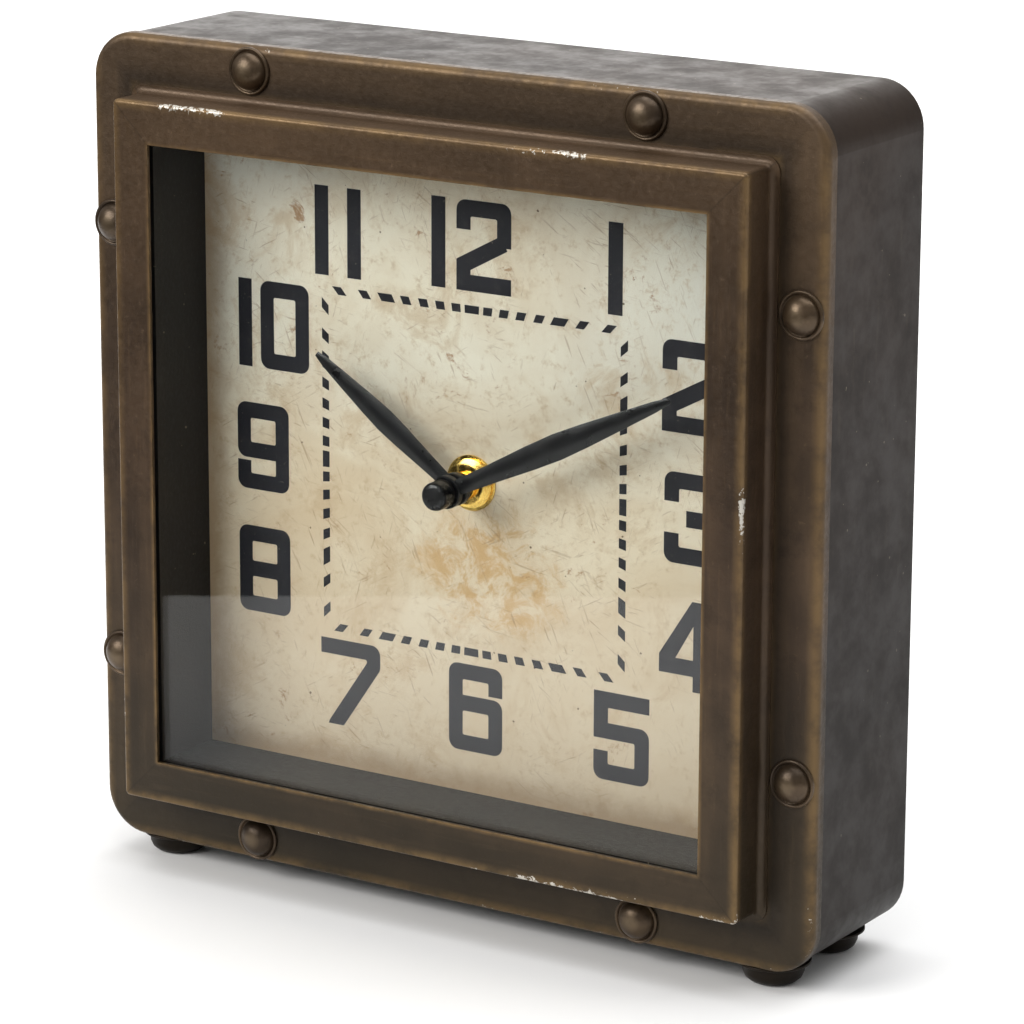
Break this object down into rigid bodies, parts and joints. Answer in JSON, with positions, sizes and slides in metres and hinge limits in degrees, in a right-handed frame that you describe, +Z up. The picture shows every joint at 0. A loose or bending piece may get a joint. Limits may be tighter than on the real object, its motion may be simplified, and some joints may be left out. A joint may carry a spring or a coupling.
{
  "type": "service station advertising clock",
  "caption": "Square riveted sheet-metal table clock with a deep framed dial behind glass, lance hands and a quartz movement, standing on small domed feet.",
  "frame": {"origin": "on the floor plane under the middle of the overall box", "axes": "+X to the viewer's right, the dial faces -Y, +Z up"},
  "size_m": [0.25, 0.072, 0.2565],
  "materials": {
    "case_bronze": "satin, brushed and worn",
    "bezel_bronze": "satin, brushed, worn at its edges",
    "rivet_bronze": "satin",
    "case_dark": "satin",
    "clear_glass": "polished",
    "gasket_rubber": "matte",
    "surround_black": "satin",
    "dial_cream": "aged satin paper",
    "dial_ink": "flat ink",
    "hardboard": "raw",
    "zinc_steel": "satin",
    "foot_black": "satin",
    "washer_rubber": "matte",
    "brass": "polished",
    "movement_black": "fine matte",
    "gear_white": "moulded",
    "gear_ivory": "moulded",
    "stator_steel": "satin",
    "copper_wire": "lacquered",
    "board_green": "lacquered",
    "contact_steel": "bright",
    "cell_wrap": "gloss sleeve",
    "hand_black": "satin"
  },
  "bodies": {
    "case": {"front_panel": "case_bronze", "case_band": "case_dark", "front_rivets": "rivet_bronze", "bezel_frame": "bezel_bronze", "glass_gasket": "gasket_rubber", "dial_glass": "clear_glass", "shadow_box": "surround_black", "dial_sheet": "dial_cream", "dial_print": "dial_ink", "dial_board": "hardboard", "clamp_studs": "zinc_steel", "clamp_spacers": "zinc_steel", "clamp_straps": "zinc_steel", "clamp_nuts": "zinc_steel", "feet": "foot_black", "foot_screws": "zinc_steel", "back_cover": "case_dark", "back_cover_screws": "zinc_steel", "rubber_washer": "washer_rubber", "brass_washer": "brass", "brass_nut": "brass", "threaded_bushing": "brass", "movement_housing": "movement_black", "mid_plate": "gear_ivory", "movement_rear_cover": "movement_black", "movement_screws": "zinc_steel", "stator": "stator_steel", "coil_core": "stator_steel", "coil": "copper_wire", "circuit_board": "board_green", "quartz_crystal": "contact_steel", "negative_contact": "contact_steel", "positive_contact": "contact_steel"},
    "minute_hand_group": {"cannon_pinion": "gear_ivory", "minute_hand": "hand_black", "cap_nut": "hand_black"},
    "hour_hand_group": {"hour_wheel": "gear_white", "hour_hand": "hand_black"},
    "time_setting": {"minute_wheel": "gear_ivory", "setting_knob": "gear_ivory"},
    "rotor_group": {"rotor": "gear_ivory"},
    "fifth_group": {"fifth_wheel": "gear_white"},
    "seconds_group": {"seconds_wheel": "gear_white"},
    "third_group": {"third_wheel": "gear_ivory"},
    "centre_group": {"centre_wheel": "gear_white"},
    "cell": {"battery": "cell_wrap"}
  },
  "joints": [
    {"name": "minute_hand_turn", "type": "hinge", "parent": "case", "child": "minute_hand_group", "pos_m": [0, -0.0195, 0.1315], "axis": [0, 1, 0], "continuous": true},
    {"name": "hour_hand_turn", "type": "hinge", "parent": "case", "child": "hour_hand_group", "pos_m": [0, -0.0155, 0.1315], "axis": [0, 1, 0], "continuous": true},
    {"name": "time_setting_turn", "type": "hinge", "parent": "case", "child": "time_setting", "pos_m": [-0.009, 0.0015, 0.1315], "axis": [0, 1, 0], "continuous": true},
    {"name": "rotor_turn", "type": "hinge", "parent": "case", "child": "rotor_group", "pos_m": [0, 0.0065, 0.1466], "axis": [0, 1, 0], "continuous": true},
    {"name": "fifth_wheel_turn", "type": "hinge", "parent": "case", "child": "fifth_group", "pos_m": [0, 0.0075, 0.1406], "axis": [0, 1, 0], "continuous": true},
    {"name": "seconds_wheel_turn", "type": "hinge", "parent": "case", "child": "seconds_group", "pos_m": [0, 0.0065, 0.1315], "axis": [0, 1, 0], "continuous": true},
    {"name": "third_wheel_turn", "type": "hinge", "parent": "case", "child": "third_group", "pos_m": [0.009, 0.0055, 0.1315], "axis": [0, 1, 0], "continuous": true},
    {"name": "centre_wheel_turn", "type": "hinge", "parent": "case", "child": "centre_group", "pos_m": [0, 0.0045, 0.1315], "axis": [0, 1, 0], "continuous": true},
    {"name": "battery_slide", "type": "slide", "parent": "case", "child": "cell", "axis": [0, 1, 0], "range_m": [0, 0.045]}
  ],
  "couplings": [
    {"joint": "hour_hand_turn", "follows": "minute_hand_turn", "ratio": 0.083333},
    {"joint": "time_setting_turn", "follows": "minute_hand_turn", "ratio": -0.33333},
    {"joint": "fifth_wheel_turn", "follows": "rotor_turn", "ratio": -0.2},
    {"joint": "seconds_wheel_turn", "follows": "rotor_turn", "ratio": 0.033333},
    {"joint": "third_wheel_turn", "follows": "rotor_turn", "ratio": -0.0044444},
    {"joint": "centre_wheel_turn", "follows": "rotor_turn", "ratio": 0.00055556}
  ]
}
